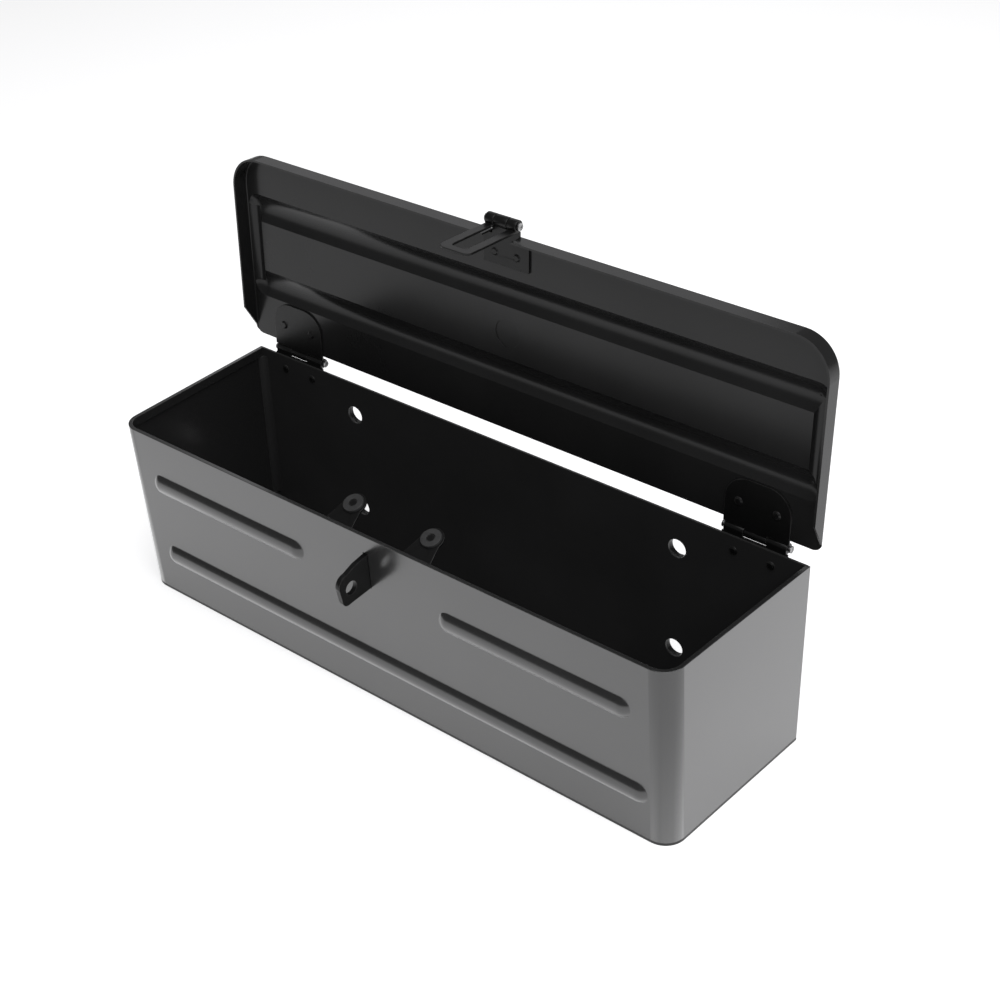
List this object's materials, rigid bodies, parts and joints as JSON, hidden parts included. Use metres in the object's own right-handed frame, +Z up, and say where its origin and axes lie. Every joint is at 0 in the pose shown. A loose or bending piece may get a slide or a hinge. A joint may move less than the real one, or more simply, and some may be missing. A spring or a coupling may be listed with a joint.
{
  "type": "truck tool box",
  "caption": "Long pressed-steel tool box with a flanged lid on two rear hinges, a slotted hasp over a padlock staple, front beads and bolt holes in the back.",
  "frame": {"origin": "middle of the underside: halfway along the box and halfway between the rim's front and back", "axes": "+X along the box to the right seen from the front, +Y from the front to the back wall, +Z up"},
  "size_m": [0.428, 0.1561, 0.2651],
  "materials": {
    "body": "gloss black powder coat",
    "inside": "gloss black powder coat",
    "lid": "gloss black powder coat",
    "fittings": "semi-gloss black powder coat",
    "pins": "plain steel, worn through the coat",
    "buffers": "matt black rubber"
  },
  "bodies": {
    "box": {"body_wrap": "body", "back_panel": "inside", "bottom_panel": "inside", "mount_ferrules": "fittings", "hinge_body_leaf_left": "fittings", "hinge_body_leaf_right": "fittings", "hinge_pin_left": "pins", "hinge_pin_right": "pins", "hinge_rivets_body": "fittings", "staple_bracket": "fittings", "staple_tab": "fittings", "lid_buffers": "buffers", "buffer_studs": "fittings"},
    "lid": {"lid_pan": "lid", "hinge_lid_leaf_left": "fittings", "hinge_lid_leaf_right": "fittings", "hinge_rivets_lid": "fittings", "hasp_mount": "fittings", "hasp_pin": "pins", "hasp_rivets": "fittings"},
    "hasp": {"hasp_leaf": "fittings"}
  },
  "joints": [
    {"name": "lid_hinge", "type": "hinge", "parent": "box", "child": "lid", "pos_m": [0, 0.065, 0.1232], "axis": [-1, 0, 0], "range_deg": [-92, 0]},
    {"name": "hasp_hinge", "type": "hinge", "parent": "lid", "child": "hasp", "pos_m": [0, 0.06553, 0.26147], "axis": [-1, 0, 0], "range_deg": [-3, 150]}
  ]
}
